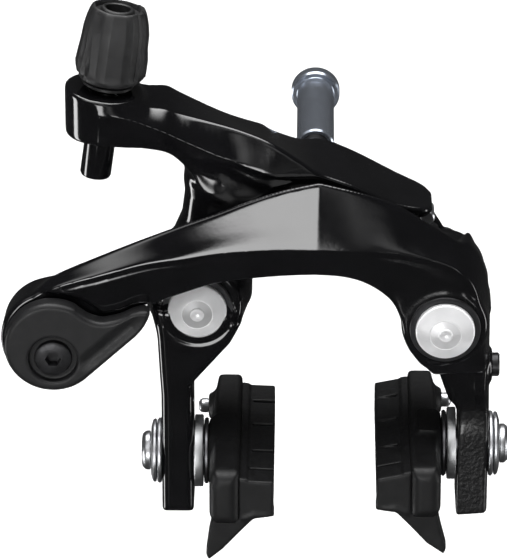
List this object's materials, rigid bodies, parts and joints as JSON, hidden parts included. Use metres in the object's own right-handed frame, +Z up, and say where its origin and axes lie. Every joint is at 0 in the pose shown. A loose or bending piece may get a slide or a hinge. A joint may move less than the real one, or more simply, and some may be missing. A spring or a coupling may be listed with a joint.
{
  "type": "rim brake caliper",
  "caption": "Dual-pivot bicycle rim brake caliper with cable adjuster, quick-release lever, cartridge shoes and recessed mounting nut.",
  "frame": {"origin": "on the mounting bolt's axis, where the serrated washer meets the fork crown", "axes": "+Z up, +Y back into the fork crown along the mounting bolt, +X to the right when the caliper is seen from the front"},
  "size_m": [0.106, 0.101, 0.1164],
  "materials": {
    "black_paint": "high-gloss black paint over forged aluminium",
    "satin_grey": "satin dark grey anodised aluminium",
    "turned_alloy": "turned, with fine circular tool marks",
    "zinc_steel": "zinc-plated",
    "spring_steel": "drawn wire",
    "black_steel": "satin black oxide",
    "black_plastic": "moulded",
    "bush_plastic": "self-lubricating",
    "knob_rubber": "matte, moulded flutes",
    "pad_rubber": "dull brake compound"
  },
  "bodies": {
    "mounting": {"bracket": "black_paint", "mounting_bolt": "black_steel", "sleeve_nut": "zinc_steel", "serrated_washer": "zinc_steel", "return_spring": "spring_steel", "spring_holder": "black_plastic", "left_pivot_bolt": "turned_alloy", "right_pivot_bolt": "turned_alloy", "left_pivot_washer": "black_steel", "right_pivot_washer": "black_steel", "left_pivot_bush": "bush_plastic", "right_pivot_bush": "bush_plastic", "left_pivot_nut": "black_steel", "right_pivot_nut": "black_steel"},
    "rear_arm_body": {"rear_arm": "black_paint", "link_pin": "zinc_steel", "adjuster_seal": "black_plastic"},
    "barrel": {"adjuster_barrel": "black_steel"},
    "knob": {"adjuster_knob": "knob_rubber"},
    "front_arm_body": {"front_arm": "black_paint"},
    "centring": {"centring_screw": "black_steel"},
    "lever": {"release_lever": "satin_grey", "lever_screw": "black_steel", "lever_axle": "zinc_steel", "clamp_carrier": "black_steel", "cable_clamp_bolt": "zinc_steel", "cable_clamp_plate": "zinc_steel"},
    "left_shoe_clamp": {"left_shoe_bolt": "zinc_steel", "left_outer_seat_washer": "zinc_steel", "left_outer_cup_washer": "black_steel", "left_inner_seat_washer": "zinc_steel"},
    "left_tilt_washer": {"left_inner_cup_washer": "black_steel"},
    "left_shoe": {"left_shoe_holder": "black_paint", "left_brake_pad": "pad_rubber", "left_pad_screw": "zinc_steel"},
    "right_shoe_clamp": {"right_shoe_bolt": "zinc_steel", "right_outer_seat_washer": "zinc_steel", "right_outer_cup_washer": "black_steel", "right_inner_seat_washer": "zinc_steel"},
    "right_tilt_washer": {"right_inner_cup_washer": "black_steel"},
    "right_shoe": {"right_shoe_holder": "black_paint", "right_brake_pad": "pad_rubber", "right_pad_screw": "zinc_steel"}
  },
  "joints": [
    {"name": "front_arm_pivot", "type": "hinge", "parent": "mounting", "child": "front_arm_body", "pos_m": [0.0268, -0.025, -0.0128], "axis": [0, 1, 0], "range_deg": [-3.5, 5], "stiffness_Nm_per_rad": 0.4, "springref_deg": -5.73},
    {"name": "rear_arm_pivot", "type": "hinge", "parent": "mounting", "child": "rear_arm_body", "pos_m": [-0.0244, -0.02, -0.0128], "axis": [0, -1, 0], "range_deg": [-3.5, 5], "stiffness_Nm_per_rad": 0.4, "springref_deg": -5.73},
    {"name": "adjuster_turn", "type": "hinge", "parent": "rear_arm_body", "child": "knob", "pos_m": [-0.0436, -0.025, 0.0282], "axis": [0.1374, 0, 0.9905], "range_deg": [-724, 724]},
    {"name": "adjuster_lift", "type": "slide", "parent": "rear_arm_body", "child": "barrel", "axis": [0.1374, 0, 0.9905], "range_m": [-0.002, 0.002]},
    {"name": "release_lever_turn", "type": "hinge", "parent": "front_arm_body", "child": "lever", "pos_m": [-0.054, -0.035, -0.0196], "axis": [0, 1, 0], "range_deg": [0, 90]},
    {"name": "centring_turn", "type": "hinge", "parent": "front_arm_body", "child": "centring", "pos_m": [0.036, -0.03, -0.0264], "axis": [1, 0, 0], "range_deg": [-180, 180]},
    {"name": "left_shoe_height", "type": "slide", "parent": "rear_arm_body", "child": "left_shoe_clamp", "axis": [0, 0, 1], "range_m": [-0.0015, 0.009]},
    {"name": "left_shoe_tilt", "type": "hinge", "parent": "left_shoe_clamp", "child": "left_tilt_washer", "pos_m": [-0.022, -0.027, -0.0492], "axis": [1, 0, 0], "range_deg": [-10, 10]},
    {"name": "left_shoe_toe", "type": "hinge", "parent": "left_tilt_washer", "child": "left_shoe", "pos_m": [-0.022, -0.027, -0.0492], "axis": [0, 0, 1], "range_deg": [-2, 2]},
    {"name": "right_shoe_height", "type": "slide", "parent": "front_arm_body", "child": "right_shoe_clamp", "axis": [0, 0, 1], "range_m": [-0.003, 0.003]},
    {"name": "right_shoe_tilt", "type": "hinge", "parent": "right_shoe_clamp", "child": "right_tilt_washer", "pos_m": [0.0266, -0.027, -0.0475], "axis": [1, 0, 0], "range_deg": [-10, 10]},
    {"name": "right_shoe_toe", "type": "hinge", "parent": "right_tilt_washer", "child": "right_shoe", "pos_m": [0.0266, -0.027, -0.0475], "axis": [0, 0, 1], "range_deg": [-2, 2]}
  ],
  "couplings": [
    {"joint": "rear_arm_pivot", "follows": "front_arm_pivot", "ratio": 1},
    {"joint": "adjuster_turn", "follows": "adjuster_lift", "rad_per_m": 6283.2}
  ]
}
